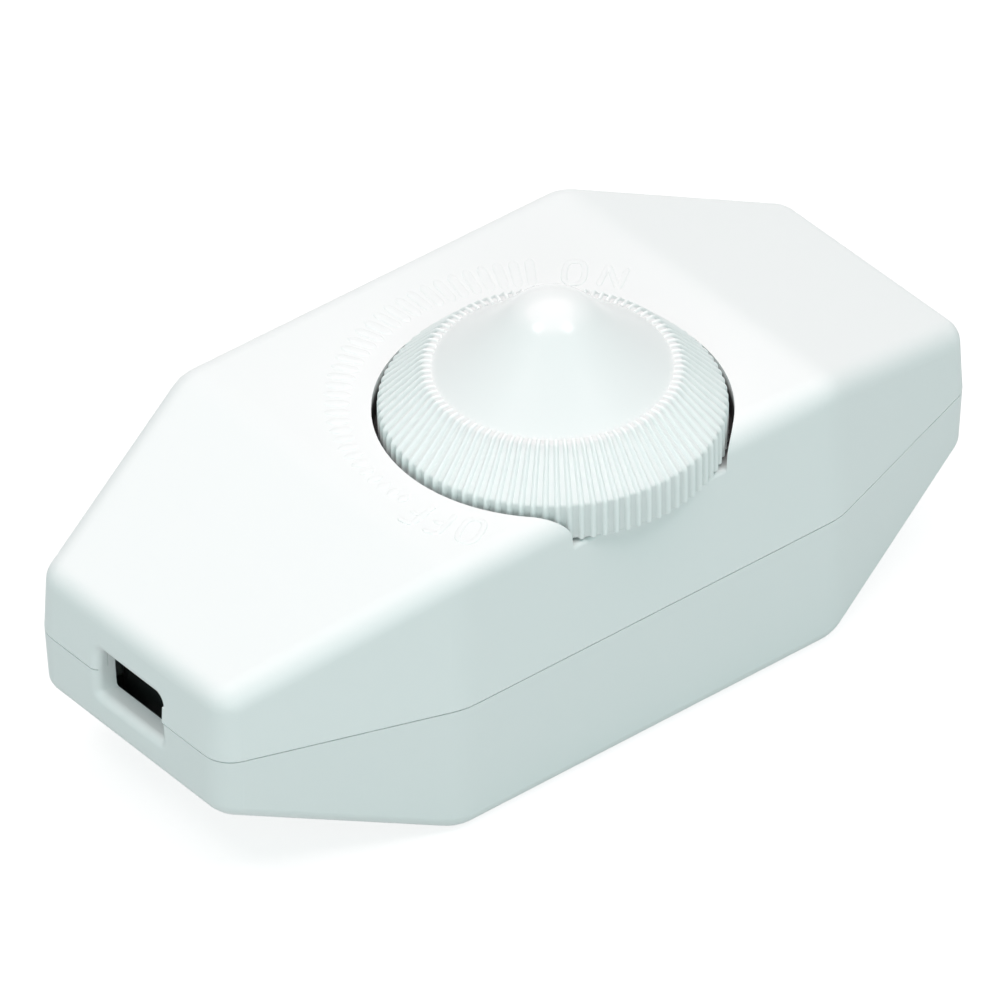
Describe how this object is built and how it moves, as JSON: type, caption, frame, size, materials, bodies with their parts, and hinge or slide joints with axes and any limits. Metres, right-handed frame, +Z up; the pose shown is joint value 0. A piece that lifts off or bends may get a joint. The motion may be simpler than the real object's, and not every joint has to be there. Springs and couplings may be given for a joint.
{
  "type": "light dimmer",
  "caption": "Inline cord dimmer: two-part white housing with ramped, tapered ends and a ribbed turning knob sunk into its cover, with the dimmer circuit inside.",
  "frame": {"origin": "centre of the flat underside", "axes": "+X along the cord and the long side, +Z up out of the cover, -Y towards the long side that the knob leans over"},
  "size_m": [0.1, 0.049, 0.0476],
  "materials": {
    "shell_plastic": "fine spark-eroded matt white",
    "knob_plastic": "satin white",
    "shaft_plastic": "smooth natural nylon",
    "black_plastic": "smooth black",
    "brown_laminate": "phenolic laminate",
    "board_laminate": "glass-fibre board",
    "plated_steel": "bright zinc plate",
    "tinned_wire": "tinned copper",
    "sink_aluminium": "extruded, plain",
    "ferrite": "sintered dark grey",
    "enamelled_copper": "enamelled copper wire",
    "contact_brass": "plain brass",
    "yellow_box": "moulded box",
    "red_epoxy": "dipped epoxy",
    "beige_lacquer": "lacquered body",
    "blue_lacquer": "lacquered body",
    "fuse_glass": "clear tube",
    "grey_plastic": "smooth grey"
  },
  "bodies": {
    "housing": {"cover": "shell_plastic", "base": "shell_plastic", "pot_bush": "plated_steel", "pot_track": "brown_laminate", "pot_case": "plated_steel", "pot_switch": "black_plastic", "pot_lugs": "plated_steel", "triac_body": "black_plastic", "triac_tab": "plated_steel", "triac_legs": "tinned_wire", "heat_sink": "sink_aluminium", "heat_sink_bolt": "plated_steel", "heat_sink_nut": "plated_steel", "choke_core": "ferrite", "choke_winding": "enamelled_copper", "suppressor_capacitor": "yellow_box", "timing_capacitor_1": "red_epoxy", "timing_capacitor_2": "red_epoxy", "fuse_tube": "fuse_glass", "fuse_wire": "tinned_wire", "fuse_caps": "plated_steel", "fuse_clips": "contact_brass", "resistors": "beige_lacquer", "diac": "blue_lacquer", "axial_leads": "tinned_wire", "component_leads": "tinned_wire", "connection_pins": "contact_brass", "circuit_board": "board_laminate", "terminal_block_left": "grey_plastic", "terminal_block_right": "grey_plastic", "terminal_cages": "contact_brass", "terminal_screws": "plated_steel", "cord_clamp_left": "shell_plastic", "cord_clamp_right": "shell_plastic", "clamp_screws": "plated_steel", "case_screws": "plated_steel"},
    "knob": {"knob": "knob_plastic", "pot_shaft": "shaft_plastic", "pot_rotor": "shaft_plastic", "pot_wiper": "contact_brass"}
  },
  "joints": [
    {"name": "knob_turn", "type": "hinge", "parent": "housing", "child": "knob", "pos_m": [0, -0.0074, 0.02995], "axis": [0, 0, 1], "range_deg": [-300, 0]}
  ]
}
